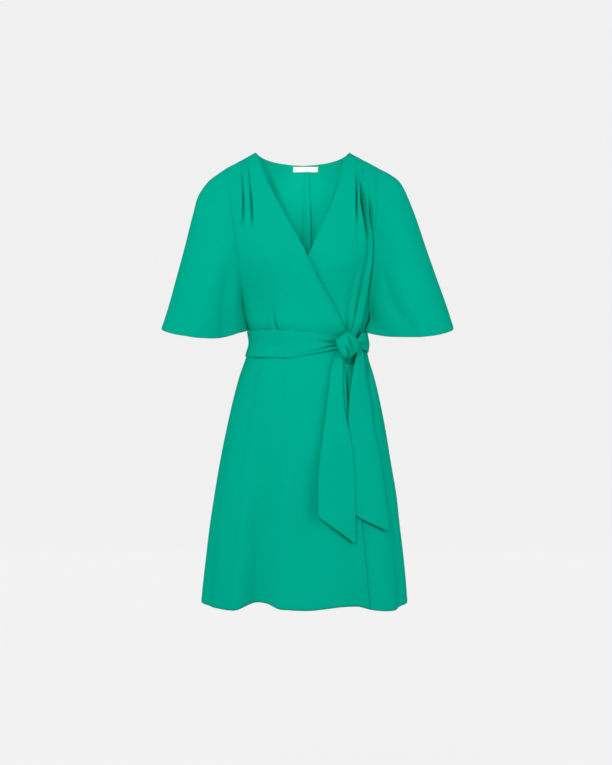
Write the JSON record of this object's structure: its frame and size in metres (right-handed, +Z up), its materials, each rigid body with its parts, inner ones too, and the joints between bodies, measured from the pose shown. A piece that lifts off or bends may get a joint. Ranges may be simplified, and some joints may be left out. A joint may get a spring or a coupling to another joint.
{
  "type": "wrap dress",
  "caption": "Wrap dress filled out and hollow: crossed V-neck bodice, wide elbow sleeves, flared skirt, sash knotted at the right of the waist.",
  "frame": {"origin": "in the neck opening, on the line between the two points where the shoulder seams meet the neckline, where the wearer's shoulders hold the dress", "axes": "front of the dress along -Y, +X to a viewer's right, +Z up, hem below the origin"},
  "size_m": [0.6106, 0.2991, 0.9491],
  "materials": {
    "crepe": "matte smooth crepe, jade green",
    "sash_crepe": "the same crepe, cut double",
    "label_weave": "blank white woven ribbon"
  },
  "bodies": {
    "root": {"back_bodice_left": "crepe", "back_bodice_right": "crepe", "front_bodice_over": "crepe", "front_bodice_under": "crepe", "sleeve_left": "crepe", "sleeve_right": "crepe", "skirt_back": "crepe", "skirt_front_over": "crepe", "skirt_front_under": "crepe", "sash_left": "sash_crepe", "sash_right": "sash_crepe", "sash_knot": "sash_crepe", "sash_end_front": "sash_crepe", "sash_end_rear": "sash_crepe", "neck_label": "label_weave"}
  },
  "joints": []
}
